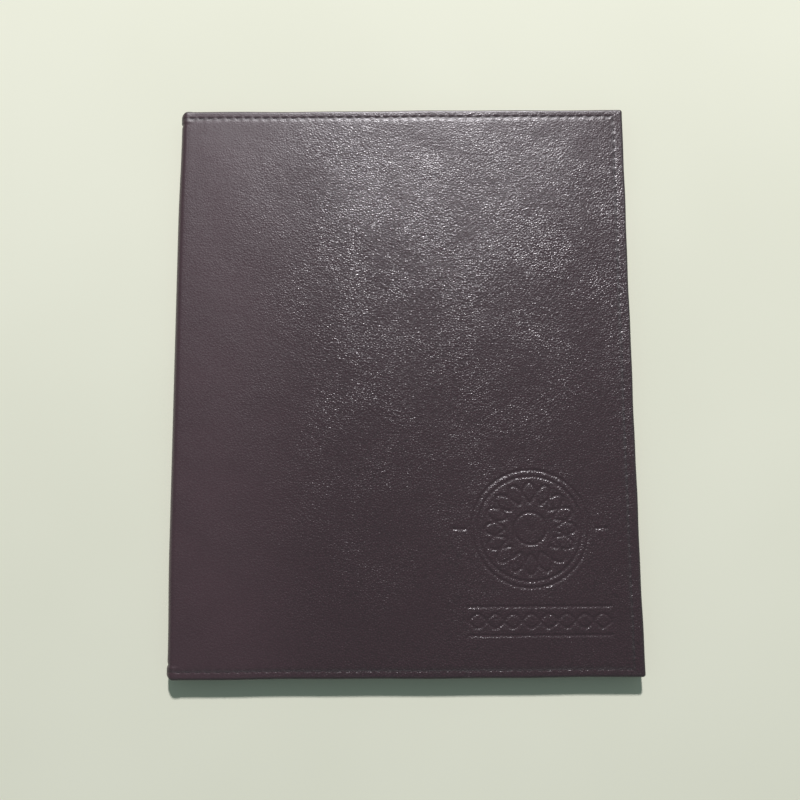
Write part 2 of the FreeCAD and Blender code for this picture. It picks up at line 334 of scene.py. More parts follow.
class Side:
    """One edge of a cover: which way it faces, and the section of its hem from the field outwards.

    section(station, phase) gives [(distance in from the edge, depth)]. pull(station) is how far the edge
    itself is drawn in there.
    """

    def __init__(self, edge, field, section, pull=lambda station: 0.0):
        self.edge = edge
        self.field = field
        self.section = section
        self.pull = pull
        self.sign = 1.0 if edge > field else -1.0

    def rows(self, station, phase):
        """For each step of the section: (coordinate across the side, depth, length run from the field,
        distance in from the edge)."""
        steps = self.section(station, phase)
        found, run, last = [], 0.0, steps[0]
        for distance, depth in steps:
            slack = self.pull(station) * max(0.0, 1 - distance / SEAM_INSET_ENDS)
            run += hypot(distance - last[0], depth - last[1])
            last = (distance, depth)
            found.append((self.edge - self.sign * (distance + slack), depth, run, distance))
        return found


class Panel:
    """The skin or the lining of one cover: a field of cells, and hems along its fore-edge, head and tail."""

    def __init__(self, front, field_depth):
        self.maker = Maker()
        self.front = front
        self.field_depth = field_depth

    def add(self, u, y, depth, unrolled=None, wear_and_shade=0.0):
        return self.maker.point(placed(u, y, depth, self.front), (*(unrolled or (u, y)), 0.0), wear_and_shade)

    def field(self, split):
        """The flat part, in cells. split(i, j) is how many parts a cell is cut into each way. A cell
        takes in the points of finer neighbours along its own edges."""
        count_u, count_y = len(CELLS_U) - 1, len(CELLS_Y) - 1
        parts = [[split(i, j) for j in range(count_y)] for i in range(count_u)]

        def cuts(i, j, other_i, other_j, at_rim):
            if 0 <= other_i < count_u and 0 <= other_j < count_y:
                return max(parts[i][j], parts[other_i][other_j])
            return max(parts[i][j], at_rim)

        for i in range(count_u):
            u0, u1 = US[CELLS_U[i]], US[CELLS_U[i + 1]]
            for j in range(count_y):
                y0, y1 = YS[CELLS_Y[j]], YS[CELLS_Y[j + 1]]
                if parts[i][j] > 1:
                    self.fine_cell(u0, u1, y0, y1, parts[i][j])
                    continue
                rim_u, rim_y = CELLS_U[i + 1] - CELLS_U[i], CELLS_Y[j + 1] - CELLS_Y[j]
                walk = [
                    ((u0, y0), (u1, y0), cuts(i, j, i, j - 1, rim_u)),
                    ((u1, y0), (u1, y1), cuts(i, j, i + 1, j, rim_y)),
                    ((u1, y1), (u0, y1), cuts(i, j, i, j + 1, rim_u)),
                    ((u0, y1), (u0, y0), cuts(i, j, i - 1, j, rim_y if i else 1)),
                ]
                corners = []
                for start, end, count in walk:
                    for step in range(count):
                        u, y = between(start, end, step / count)
                        corners.append(self.add(u, y, self.field_depth(u, y)))
                self.maker.face(corners)

    def fine_cell(self, u0, u1, y0, y1, count):
        us = [lerp(u0, u1, a / count) for a in range(count + 1)]
        ys = [lerp(y0, y1, b / count) for b in range(count + 1)]
        self.maker.grid([[self.add(u, y, self.field_depth(u, y)) for u in us] for y in ys])

    def hem(self, side, stations, along_end):
        """The hem along the head or the tail, or else along the fore-edge."""
        inset = SEAM_INSET_ENDS if along_end else SEAM_INSET_FORE
        columns = []
        for station, phase in stations:
            column = []
            for across, depth, run, distance in side.rows(station, phase):
                rolled = side.field + side.sign * run
                # how dark and dull to draw it: partly rubbed wear, partly painted shade
                wear_and_shade = hem_wear_and_shade(distance, depth, inset)
                if along_end:
                    column.append(self.add(station, across, depth, (station, rolled), wear_and_shade))
                else:
                    column.append(self.add(across, station, depth, (rolled, station), wear_and_shade))
            columns.append(column)
        self.hem_faces(columns, along_end == (side.sign < 0))

    def hem_faces(self, columns, forward):
        for low, high in zip(columns, columns[1:]):
            for k in range(len(low) - 1):
                corners = [low[k], high[k], high[k + 1], low[k + 1]]
                self.maker.face(corners[::-1] if forward else corners)

    def corner(self, side, end):
        """The corner between the fore-edge and an end: mitred inside, rounded at its tip."""
        steps = range(FINE + CORNER_STEPS + 1)
        for along_end in (True, False):
            columns = [self.corner_column(side, end, along_end, step) for step in steps]
            self.hem_faces(columns, along_end == (side.sign * end.sign < 0))

    def corner_column(self, side, end, along_end, step):
        radius = HEM_CORNER
        straight = min(step, FINE) / FINE
        turn = max(0, step - FINE) / CORNER_STEPS * pi / 4
        phase = straight % 1.0
        column = []
        lines = zip(side.rows(end.field, phase), end.rows(side.field, phase))
        share = step / (FINE + CORNER_STEPS)
        for (_, depth, run, distance_u), (_, _, _, distance_y) in lines:
            tip_u, tip_y = max(distance_u, radius), max(distance_y, radius)
            inner = max(0.0, radius - distance_u)
            if along_end:
                u = lerp(side.field, side.edge - side.sign * tip_u, straight) + side.sign * inner * sin(turn)
                y = end.edge - end.sign * tip_y + end.sign * inner * cos(turn)
            else:
                u = side.edge - side.sign * tip_u + side.sign * inner * cos(turn)
                y = lerp(end.field, end.edge - end.sign * tip_y, straight) + end.sign * inner * sin(turn)
            rolled_u = side.field + side.sign * run * (share if along_end else 1.0)
            rolled_y = end.field + end.sign * run * (1.0 if along_end else share)
            # how dark and dull to draw it: partly rubbed wear, partly painted shade
            fore_wear_and_shade = hem_wear_and_shade(distance_u, depth, SEAM_INSET_FORE)
            end_wear_and_shade = hem_wear_and_shade(distance_y, depth, SEAM_INSET_ENDS)
            column.append(self.add(u, y, depth, (rolled_u, rolled_y), max(fore_wear_and_shade, end_wear_and_shade)))
        return column


def hem_wear_and_shade(distance, depth, inset):
    """How dark and dull leather is drawn: on the turn of a hem, partly a rubbed edge and partly painted
    shade where it curves away from the light, and painted shade down to the seam, which is inset.
    """
    # the hem's turn: partly a rubbed edge, partly painted shade
    turn = 1 - smooth(0.5, 1.7, distance)
    # painted shade on the panel side of the seam
    seam = 0.8 * bell(distance - inset, 1.3) if distance > inset - 0.01 else 0.0
    underside = smooth(2.4, 3.4, depth)
    return max(turn, seam) * (1 - underside)


def seam_relief(across, phase):
    """How deep a seam pulls the surface in. across is the distance from it, above 0 towards the panel.
    phase is 0 between two stitches, where the leather stands up again."""
    slope_width, valley_width = (2.6, 1.4) if across > 0 else (0.9, 0.55)
    along_stitch = smooth(0.1, 1.7, min(phase, 1 - phase) * PITCH_ALONG)
    return 0.02 * bell(across, slope_width) + (0.01 + 0.15 * along_stitch) * bell(across, valley_width)


SEAM_STEPS_IN = (1.0, 0.86, 0.74, 0.63, 0.52, 0.42, 0.33, 0.25, 0.18, 0.115, 0.065, 0.03)
SEAM_STEPS_OUT = (0.0, 0.16, 0.34, 0.58, 0.9, 1.25)


def quarter_turn(steps):
    """The sines and cosines of a quarter turn."""
    angles = [step / steps * pi / 2 for step in range(steps + 1)]
    return [(sin(angle), cos(angle)) for angle in angles]


def rounded_hem(thickness):
    """The outer turn of a hem: [(distance in from the edge, depth)]."""
    over = min(HEM_ROUNDING, 0.55 * thickness)
    under = min(HEM_UNDER_ROUNDING, 0.4 * thickness)
    found = [(over * (1 - s), over * (1 - c)) for s, c in quarter_turn(5)]
    return found + [(under * (1 - c), thickness - under + under * s) for s, c in quarter_turn(3)]


def leather_section(inset, pitch, thickness_at, swell_at):
    """The section of the skin's hem beside a seam."""

    def section(station, phase):
        found = []
        for share in SEAM_STEPS_IN:
            across = share * pitch
            found.append((inset + across, seam_relief(across, phase) * (1 - smooth(0.75, 1.0, share))))
        found += [(inset - across, seam_relief(-across, phase)) for across in SEAM_STEPS_OUT]
        turn = rounded_hem(thickness_at(station))
        found += [between(found[-1], turn[0], share) for share in (0.35, 0.7)] + turn[:6]
        found = [(distance, depth - swell_at(station, distance)) for distance, depth in found]
        return found + turn[6:] + [(distance, thickness_at(station)) for distance in (2.2, inset + 0.5)]

    return section


def lining_section(inset, pitch, edge_inset, depth_at):
    """The section of the lining's folded edge, with the shallow line of the seam's bobbin thread."""

    def section(station, phase):
        base = depth_at(station)
        hole = 0.12 * bell(min(phase, 1 - phase) * pitch, 0.5)
        found = []
        for across in [share * pitch for share in SEAM_STEPS_IN] + [0.0, -0.2, -0.45, -0.8]:
            found.append((inset + across, base - 0.14 * bell(across, 0.7) - hole * bell(across, 0.4)))
        for distance, drop in ((0.35, 0.0), (0.15, 0.06), (0.03, 0.18), (0.0, 0.36)):
            found.append((edge_inset + distance, base - drop))
        return found

    return section


# ---------------- pressed ornament


def wave_distance(along, across, amplitude, length):
    """Distance from a sine line, nearly."""
    phase = tau * along / length
    slope = amplitude * tau / length * cos(phase)
    return abs(across - amplitude * sin(phase)) / sqrt(1 + slope * slope)


def rosette_distance(x, y):
    """Distance from two interlaced lobed rings round a circle, in a double circle with a dash each side."""
    radius = hypot(x, y)
    angle = atan2(y, x)
    lines = [abs(radius - ring) for ring in RINGS]
    for swing in (LOBE_SWING, -LOBE_SWING):
        slope = LOBES * swing * sin(LOBES * angle) / max(radius, 1.0)
        lines.append(abs(radius - LOBE_RADIUS - swing * cos(LOBES * angle)) / sqrt(1 + slope * slope))
    if DASH[0] < abs(x) < DASH[1]:
        lines.append(abs(y))
    return min(lines)


def band_distance(x, y):
    """Distance from a band of two interlaced waves between two rules."""
    beyond = max(0.0, abs(x) - BAND_HALF_LENGTH)
    lines = [hypot(abs(abs(y) - BAND_HALF_HEIGHT), beyond)]
    for height in (WAVE_HEIGHT, -WAVE_HEIGHT):
        lines.append(hypot(wave_distance(x, y, height, WAVE_LENGTH), beyond))
    return min(lines)


def ornament_distance(x, y):
    return min(rosette_distance(x - ORNAMENT_X, y - ORNAMENT_Y), band_distance(x - BAND_X, y - BAND_Y))


def pressed(x, y):
    edge = PRESS_WIDTH / 2
    return PRESS_DEPTH * (1 - smooth(edge - PRESS_WALL / 2, edge + PRESS_WALL, ornament_distance(x, y)))


# ---------------- skins and linings


def undulation(u, y, seed):
    """Broad, shallow unevenness of leather glued over a board. It fades out at the rim of the field."""
    waves = 0.07 * sin(u / 13.0 + seed) * sin(y / 19.0 + 2 * seed)
    waves += 0.03 * sin(u / 9.0 + y / 11.0 + 3 * seed) + 0.1 * sin(y / 37.0 - u / 41.0 + seed)
    from_rim = min(u_of(FIELD_X) - u, FIELD_Y - abs(y), max(0.0, u - BEND_END))
    return waves * smooth(0.0, 22.0, from_rim)


def spine_pull(u):
    """The ends of the fold are drawn in, so that the spine's corners look round from above."""
    turn = min(pi / 2, max(0.0, (u - SPINE_FLAT) / BEND_RADIUS))
    return 2.6 * (1 - sin(turn) ** 1.3)


def spine_swell(u, distance):
    """The turned-in hem stands a little proud where it goes round the spine, and ends in a small notch."""
    hem = smooth(0.0, 1.8, distance) * (1 - smooth(6.2, 7.4, distance))
    notch = smooth(6.6, 7.6, distance) * (1 - smooth(7.9, 9.2, distance))
    swell = 0.26 * hem * (1 - smooth(BEND_END - 2.0, BEND_END + 5.0, u))
    return swell - 0.3 * notch * (1 - smooth(3.0, 6.0, u))


def cover_panel(front, field_depth, end_section, fore_section, split=lambda i, j: 1):
    """A whole cover's skin or lining, whose field is split as Panel.field says."""
    panel = Panel(front, field_depth)
    panel.field(split)
    fore = Side(u_of(FORE_X), u_of(FIELD_X), fore_section)
    panel.hem(fore, zip(YS, PHASES_Y), along_end=False)
    for sign in (1, -1):
        end = Side(sign * HEAD_Y, sign * FIELD_Y, end_section, spine_pull)
        panel.hem(end, zip(US, PHASES_U), along_end=True)
        panel.corner(fore, end)
    return panel.maker


def skin(name, front, material):
    """The leather of one cover, from the middle of the spine round the corner to the turned-in hems."""
    seed = 1.3 if front else 4.1

    def depth(u, y):
        relief = undulation(u, y, seed)
        if front and u > BEND_END:
            relief += pressed(x_of(u), y)
        return relief

    def split(i, j):
        if not front or US[CELLS_U[i]] < u_of(20):
            return 1
        x = x_of((US[CELLS_U[i]] + US[CELLS_U[i + 1]]) / 2)
        y = (YS[CELLS_Y[j]] + YS[CELLS_Y[j + 1]]) / 2
        return PRESSED_CELL if ornament_distance(x, y) < 3.1 else 1

    end = leather_section(SEAM_INSET_ENDS, PITCH_ALONG, leather_thickness, spine_swell)
    fore = leather_section(SEAM_INSET_FORE, PITCH_ACROSS, lambda y: LEATHER_DEPTH, lambda y, distance: 0.0)
    return cover_panel(front, depth, end, fore, split).made(name, material, flip=not front)


def lining(name, front, material):
    """The lining of one cover, from the middle of the spine over the board to its folded edges."""
    seed = 2.2 if front else 5.7

    def depth(u, y):
        return lining_depth(u) - 0.4 * undulation(u, y, seed)

    end = lining_section(SEAM_INSET_ENDS, PITCH_ALONG, HEAD_Y - LINING_HEAD_Y, lining_depth)
    fore = lining_section(SEAM_INSET_FORE, PITCH_ACROSS, FORE_X - LINING_FORE_X, lambda y: LINING_DEPTH)
    return cover_panel(front, depth, end, fore).made(name, material, flip=front)


def layer(name, front, reach, material):
    """A thin closed layer under the skin of a cover, over a stretch of u."""
    maker = Maker()
    us = [u for u in US if reach[0] < u < min(reach[1], BEND_END)]
    us = [reach[0]] + us + ([BEND_END] if reach[1] > BEND_END else []) + [reach[1]]
    rings = []
    for step in range(13):
        y = lerp(-BOARD_HEAD_Y, BOARD_HEAD_Y, step / 12)
        ring = [placed(u, y, LAYER_DEPTHS[0], front) for u in us]
        ring += [placed(u, y, LAYER_DEPTHS[1], front) for u in us[::-1]]
        rings.append([maker.point(place) for place in ring])
    maker.grid(rings, closed=True)
    for ring in (rings[0][::-1], rings[-1]):
        half = len(ring) // 2
        for i in range(half - 1):
            maker.face([ring[i], ring[i + 1], ring[-i - 2], ring[-i - 1]])
    return maker.made(name, material, flip=front)


# ---------------- stitching


def seam_nodes():
    """The needle holes of one cover's seam, (u, y), from the spine at the tail round to the head."""
    us = [BEND_END + PITCH_ACROSS * step for step in range(-1, STITCHES_ACROSS + 1)]
    nodes = [(u, -SEAM_Y) for u in us]
    nodes += [(u_of(SEAM_X), -SEAM_Y + PITCH_ALONG * step) for step in range(1, STITCHES_ALONG)]
    nodes += [(u, SEAM_Y) for u in us[::-1]]
    return nodes


def tube(maker, centres, ups, radii):
    """A closed tube of twisted two-ply thread along centres, whose cross-section faces ups."""
    sides, twist = 8, 1.1
    rings = []
    count = len(centres)
    for i, (centre, up, radius) in enumerate(zip(centres, ups, radii)):
        ahead = (Vector(centres[min(i + 1, count - 1)]) - Vector(centres[max(i - 1, 0)])).normalized()
        across = ahead.cross(Vector(up)).normalized()
        out = across.cross(ahead)
        ring = []
        for side in range(sides):
            angle = tau * side / sides
            ply = 0.86 + 0.14 * cos(2 * (angle - twist * i))
            spot = Vector(centre) + (out * cos(angle) + across * sin(angle)) * radius * ply
            ring.append(maker.point(tuple(spot)))
        rings.append(ring)
    maker.grid(rings, closed=True)
    maker.face(rings[0][::-1])
    maker.face(rings[-1])


def stitch(maker, start, end, place, up_sign, rest, slant, dip, radius, gap):
    """One stitch from hole to hole. rest is its depth in the middle, dip how much deeper its ends go in and
    slant how far they turn out of line. place(u, y, depth) gives a point, and up_sign is 1 if depth grows
    inwards."""
    along = Vector((end[0] - start[0], end[1] - start[1]))
    across = Vector((-along.y, along.x)).normalized()
    steps = 9
    centres, ups, radii = [], [], []
    for step in range(steps):
        t = step / (steps - 1)
        off = slant * (t - 0.5) * 2
        share = gap + (1 - 2 * gap) * t
        u, y = between(start, end, share)
        u += across.x * off
        y += across.y * off
        end_share = abs(2 * t - 1) ** 5
        depth = rest(u) + up_sign * dip * end_share
        here = Vector(place(u, y, depth))
        centres.append(tuple(here))
        ups.append(tuple(Vector(place(u, y, depth - up_sign * 0.1)) - here))
        radii.append(radius * (1 - 0.35 * end_share))
    tube(maker, centres, ups, radii)


def perimeter_stitches(name, front, inside, material):
    """The perimeter seam's needle thread on the skin or, inside, its bobbin thread on the lining."""
    maker = Maker()
    nodes = seam_nodes()
    if inside:
        past_bend = BEND_END - PITCH_ACROSS - 2.0
        nodes = [(past_bend, -SEAM_Y)] + nodes + [(past_bend, SEAM_Y)]

    def place(u, y, depth):
        return placed(u, y, depth, front)

    def bobbin_rest(u):
        return lining_depth(u) - BOBBIN_RISE

    for index, (start, end) in enumerate(zip(nodes, nodes[1:])):
        wobble = 0.05 * sin(index * 2.4)
        if inside:
            stitch(maker, start, end, place, -1, bobbin_rest, 0.1 + wobble, **BOBBIN)
        else:
            stitch(maker, start, end, place, 1, lambda u: NEEDLE_REST, 0.26 + wobble, **NEEDLE)
    return maker.made(name, material, flip=not front)


def spine_stitches(name, material):
    """The two stitches that cross the spine, at tail and head."""
    maker = Maker()
    reach = BEND_END - PITCH_ACROSS

    def place(t, y, depth):
        return placed(abs(t), y, depth, t > 0)

    for y in (-SEAM_Y, SEAM_Y):
        stitch(maker, (-reach, y), (reach, y), place, 1, lambda t: NEEDLE_REST, 0.15, **NEEDLE)
    return maker.made(name, material)


# ---------------- pockets, pen loop and pad


class PlateSpec:
    """Where a flat sewn-on panel lies: its limits in x and y, and its lower and upper depth."""

    def __init__(self, node):
        low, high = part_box(node)
        self.x = (low.x / MM, high.x / MM)
        self.y = (low.y / MM, high.y / MM)
        self.front = node.startswith(("document", "card"))
        self.depth = sorted((self.turned(low.z / MM), self.turned(high.z / MM)))

    def turned(self, value):
        """Depth to height, or height to depth: the front cover lies upside down."""
        return TOP_Z - value if self.front else value


def rim_of(rows):
    """The points round the outside of a grid."""
    return rows[0] + [row[-1] for row in rows[1:]] + rows[-1][-2::-1] + [row[0] for row in rows[-2:0:-1]]


def plate_lines(low, high, spacing):
    """Grid lines across a plate: close together at its edges and seams, wider between."""
    steps = (0.0, 0.05, 0.16, 0.35, 0.6, 0.85, 1.1, 1.3, 1.5, 1.75, 2.1, 2.8, 4.2)
    inner_low, inner_high = low + steps[-1], high - steps[-1]
    count = max(1, ceil((inner_high - inner_low) / spacing))
    middle = [lerp(inner_low, inner_high, i / count) for i in range(1, count)]
    return [low + s for s in steps] + middle + [high - s for s in reversed(steps)]


def plate(name, spec, material, mouth=0.0):
    """A pocket panel with turned edges and a sunken seam. mouth is how far its open edge lifts."""
    maker = Maker()
    thickness = spec.depth[1] - spec.depth[0]

    def top(x, y):
        spine, fore, tail, head = x - spec.x[0], spec.x[1] - x, y - spec.y[0], spec.y[1] - y
        depth = spec.depth[1]
        near = min(spine, fore, tail, head)
        if near < PLATE_ROUNDING:
            depth -= PLATE_ROUNDING - sqrt(max(0.0, PLATE_ROUNDING**2 - (PLATE_ROUNDING - near) ** 2))
        for edge in (tail, spine, fore):
            across = edge - PLATE_SEAM
            depth -= min(0.1, 0.25 * thickness) * bell(across, 0.45) + 0.05 * bell(across, 1.6)
        depth -= 0.07 * bell(head - MOUTH_HEM, 0.5)
        fade = smooth(2.0, 18.0, min(spine, fore, tail))
        depth += mouth * fade * sin(pi * spine / (spec.x[1] - spec.x[0])) * bell(head, 34.0)
        return depth + 0.02 * fade * sin(x / 9.0) * sin(y / 12.0)

    xs, ys = plate_lines(*spec.x, 5.0), plate_lines(*spec.y, 5.0)
    rows = [[maker.point((x, y, spec.turned(top(x, y))), (x, y, 0.0)) for x in xs] for y in ys]
    maker.grid(rows)
    base = []
    for index in rim_of(rows):
        x, y, z = maker.points[index]
        lift = spec.turned(z) - spec.depth[1] + PLATE_ROUNDING
        base.append(maker.point((x, y, spec.turned(spec.depth[0] + max(0.0, lift))), (x, y, 1.0)))
    maker.grid([rim_of(rows), base], closed=True)
    maker.face(base)
    return maker.made(name, material, flip=spec.front)


def plate_stitches(name, spec, runs, material):
    """Rows of small stitches on a plate. runs are [(start, end)] in x and y."""
    maker = Maker()

    def place(x, y, depth):
        return x, y, spec.turned(depth)

    for start, end in runs:
        count = max(1, round(hypot(end[0] - start[0], end[1] - start[1]) / PLATE_PITCH))
        holes = [between(start, end, i / count) for i in range(count + 1)]
        for i, (a, b) in enumerate(zip(holes, holes[1:])):
            slant = 0.1 + 0.03 * sin(i * 1.7)
            rest = spec.depth[1] - POCKET_THREAD_RISE
            stitch(maker, a, b, place, -1, lambda x: rest, slant, **POCKET_THREAD)
    return maker.made(name, material, flip=not spec.front)


def u_runs(spec):
    """The seam round a pocket: down one side, along the tail and up the other."""
    x0, x1 = spec.x[0] + PLATE_SEAM, spec.x[1] - PLATE_SEAM
    y0, y1 = spec.y[0] + PLATE_SEAM, spec.y[1] - PLATE_SEAM
    return [((x0, y1), (x0, y0)), ((x0, y0), (x1, y0)), ((x1, y0), (x1, y1))]


def mouth_run(spec):
    """The seam that holds the turned edge of a pocket's mouth."""
    y = spec.y[1] - MOUTH_HEM
    return [((spec.x[0] + 2.6, y), (spec.x[1] - 2.6, y))]


def pen_loop(name, material):
    """A loop of ribbed elastic tape, pressed flat."""
    low, high = box_mm("pen_loop")
    tape = 0.8
    radius = (high.z - low.z) / 2 - tape / 2
    middle_z = (low.z + high.z) / 2
    left, right = low.x + radius + tape / 2, high.x - radius - tape / 2
    line = []
    for side, start, end in ((1, left, right), (-1, right, left)):
        for step in range(10):
            line.append((lerp(start, end, step / 10), middle_z + side * radius, 0.0, side))
        for step in range(10):
            angle = side * pi / 2 - pi * step / 10
            line.append((end + radius * cos(angle), middle_z + radius * sin(angle), cos(angle), sin(angle)))
    maker = Maker()
    ribs = 26
    profile = []
    shares = [step / (ribs * 4) for step in range(ribs * 4 + 1)]
    for share, face in [(share, 1) for share in shares] + [(share, -1) for share in shares[::-1]]:
        rib = 0.05 * cos(tau * share * ribs)
        edge = sqrt(max(0.0, 1 - max(0.0, abs(2 * share - 1) - 0.965) ** 2 / 0.035**2))
        profile.append((lerp(low.y, high.y, share), face * (tape / 2 - 0.05 + rib) * edge))
    rings = []
    run = 0.0
    for index, (x, z, out_x, out_z) in enumerate(line):
        sway = 0.25 * sin(tau * index / len(line))
        run += hypot(x - line[index - 1][0], z - line[index - 1][1])
        ring = []
        for y, off in profile:
            ring.append(maker.point((x + out_x * off, y + sway, z + out_z * off), (run, y, 0.0)))
        rings.append(ring)
    maker.grid(rings + [rings[0]], closed=True)
    return maker.made(name, material)


def paper(name, material):
    """The pad's ten sheets, each a little out of line with the one below."""
    low, high = box_mm("pad_sheets")
    maker = Maker()
    count = 10
    pitch = (high.z - low.z) / count
    for index in range(count):
        shift_x, shift_y = 0.22 * sin(index * 2.3), -0.12 - 0.12 * sin(index * 3.1)
        xs = [lerp(low.x, high.x, i / 14) + shift_x for i in range(15)]
        ys = [lerp(low.y, high.y - 0.25, i / 18) + shift_y for i in range(19)]
        bottom = low.z + index * pitch
        faces = (bottom, bottom + 0.85 * pitch)
        lower, upper = ([[maker.point((x, y, z)) for x in xs] for y in ys] for z in faces)
        maker.grid(upper)
        maker.grid([row[::-1] for row in lower])
        maker.grid([rim_of(lower), rim_of(upper)], closed=True)
    return maker.made(name, material, smooth_shaded=False)


def binding(name, material):
    """The tape that binds the pad's head: over the sheets, down their edge, and in underneath them."""
    low, high = box_mm("pad_binding")
    sheets_low, sheets_high = box_mm("pad_sheets")
    board_high = box_mm("pad_backing_board")[1]
    head = board_high.y
    turn = 0.25
    outline = [(low.y, high.z - 0.03), (low.y + 0.05, high.z), (high.y - turn, high.z)]
    outline += [(high.y - turn + turn * s, high.z - turn + turn * c) for s, c in quarter_turn(5)[1:]]
    inner, tucked = head + 0.02, head - 11.5
    outline += [(high.y, low.z), (inner, low.z), (inner, board_high.z + 0.02), (tucked, board_high.z + 0.02)]
    outline += [(tucked, sheets_low.z - 0.02), (inner, sheets_low.z - 0.02)]
    outline += [(inner, sheets_high.z + 0.01), (low.y, sheets_high.z + 0.01)]
    maker = Maker()
    columns = []
    for step in range(43):
        x = lerp(low.x, high.x, step / 42)
        columns.append([maker.point((x, y, z)) for y, z in outline])
    maker.grid(columns, closed=True)
    maker.face(columns[0][::-1])
    maker.face(columns[-1])
    return maker.made(name, material, flip=True, smooth_shaded=False)


# ---------------- materials


class Nodes:
    """A short hand for the nodes of a material or of the world."""

    def __init__(self, owner, shader="Principled BSDF"):
        owner.use_nodes = True
        self.owner = owner
        self.tree = owner.node_tree
        self.shader = self.tree.nodes[shader]

    def new(self, kind, values=None, **settings):
        node = self.tree.nodes.new(kind)
        for name, value in settings.items():
            setattr(node, name, value)
        for name, value in (values or {}).items():
            self.set(node.inputs[name], value)
        return node

    def set(self, socket, value):
        if isinstance(value, bpy.types.NodeSocket):
            self.tree.links.new(value, socket)
        else:
            socket.default_value = value

    def shade(self, **values):
        for name, value in values.items():
            self.set(self.shader.inputs[name.replace("_", " ")], value)
        return self.owner

    def math(self, operation, a, b=0.0):
        return self.new("ShaderNodeMath", {0: a, 1: b}, operation=operation).outputs[0]

    def plus(self, a, b):
        return self.math("ADD", a, b)

    def times(self, a, b):
        return self.math("MULTIPLY", a, b)

    def span(self, value, low, high, to_low=0.0, to_high=1.0):
        limits = {"From Min": low, "From Max": high, "To Min": to_low, "To Max": to_high}
        node = self.new("ShaderNodeMapRange", {"Value": value, **limits}, interpolation_type="SMOOTHSTEP")
        return node.outputs["Result"]

    def mix(self, share, a, b):
        values = {"Factor": share, "A": a, "B": b}
        return self.new("ShaderNodeMix", values, data_type="RGBA").outputs["Result"]

    def unrolled(self):
        return self.new("ShaderNodeAttribute", attribute_name="unrolled").outputs["Vector"]

    def parts(self, place):
        return self.new("ShaderNodeSeparateXYZ", {"Vector": place}).outputs

    def scaled(self, vector, scale):
        values = {0: vector, "Scale": scale}
        return self.new("ShaderNodeVectorMath", values, operation="SCALE").outputs["Vector"]

    def object_mm(self):
        """Object coordinates in millimetres."""
        return self.scaled(self.new("ShaderNodeTexCoord").outputs["Object"], 1 / MM)

    def noise(self, place, size, detail=2.0, roughness=0.5, output="Fac"):
        """Noise whose features are about size millimetres across."""
        values = {"Vector": place, "Scale": 1 / size, "Detail": detail, "Roughness": roughness}
        return self.new("ShaderNodeTexNoise", values).outputs[output]

    def cells(self, place, size, feature):
        node = self.new("ShaderNodeTexVoronoi", {"Vector": place, "Scale": 1 / size}, feature=feature)
        return node.outputs["Distance"]

    def bump(self, height, distance, strength=1.0, under=None):
        """distance is in millimetres."""
        values = {"Height": height, "Distance": distance * MM, "Strength": strength}
        if under is not None:
            values["Normal"] = under
        return self.new("ShaderNodeBump", values).outputs["Normal"]


def colour(rgb, share=1.0):
    """A colour, or a darker or lighter share of it."""
    return (*(value * share for value in rgb), 1.0)


def new_material(name):
    return Nodes(bpy.data.materials.new(name))


def leather_material(name, base, crease, grain, rough, depth):
    """Pebbled leather, with pebbles grain millimetres across and creases depth deep. The creases are drawn
    darker, painted shade. It is rubbed flat towards the spine, and lighter there, a painted reflection. It
    is
    dark where the mesh marks it: partly rubbed wear, partly painted shade."""
    n = new_material(name)
    unrolled = n.unrolled()
    warp = n.scaled(n.noise(unrolled, 3 * grain, output="Color"), 1.3 * grain)
    place = n.new("ShaderNodeVectorMath", {0: unrolled, 1: warp}, operation="ADD").outputs["Vector"]
    domes = n.math("SUBTRACT", 1.0, n.cells(place, grain, "F1"))
    pebbles = n.span(n.cells(place, grain, "DISTANCE_TO_EDGE"), 0.0, 0.25)
    fine = n.noise(place, 0.8 * grain, detail=1.0)
    spot = n.parts(unrolled)
    from_spine = n.span(spot["X"], 0.0, 120.0)
    near_head = n.span(spot["Y"], 90.0, 165.0, 1.0, 0.5)
    flatter = n.times(n.span(from_spine, 0.0, 1.0, 0.42, 1.0), near_head)
    flatter = n.times(flatter, n.span(n.noise(unrolled, 30.0), 0.35, 0.65, 0.7, 1.0))
    height = n.plus(domes, n.times(fine, 1.2))
    height = n.plus(height, n.times(pebbles, 0.3))
    height = n.times(height, flatter)
    relief = n.bump(height, depth, under=n.bump(n.noise(unrolled, 16.0, detail=1.0), 0.15))
    # the mesh's mark of how dark and dull to draw it: partly rubbed wear, partly painted shade
    worn_and_shaded = n.new("ShaderNodeAttribute", attribute_name="wear_and_shade").outputs["Fac"]
    worn_and_shaded = n.times(worn_and_shaded, n.span(n.noise(place, 5.0, detail=3.0), 0.25, 0.65, 0.6, 1.0))
    patches = n.noise(unrolled, 34.0, detail=3.0)
    # the creases between pebbles take the darker crease colour: painted shade
    shown = n.mix(pebbles, colour(crease), colour(base))
    # lighter towards the spine: a painted reflection
    shown = n.mix(n.span(from_spine, 0.0, 1.0, 0.5, 0.0), shown, colour(base, 1.5))
    # darker where marked: partly rubbed wear, partly painted shade
    shown = n.mix(worn_and_shaded, shown, colour(base, 0.3))
    shown = n.mix(n.span(patches, 0.3, 0.75, 0.0, 0.35), shown, colour(base, 0.75))
    dull = n.span(fine, 0.3, 0.7, rough + 0.04, rough - 0.04)
    dull = n.plus(dull, n.span(pebbles, 0.0, 1.0, 0.05, 0.0))
    dull = n.plus(dull, n.times(worn_and_shaded, 0.3))
    dull = n.plus(dull, n.span(from_spine, 0.0, 1.0, 0.09, 0.0))
    return n.shade(Base_Color=shown, Roughness=dull, Normal=relief, Specular_IOR_Level=1.0)


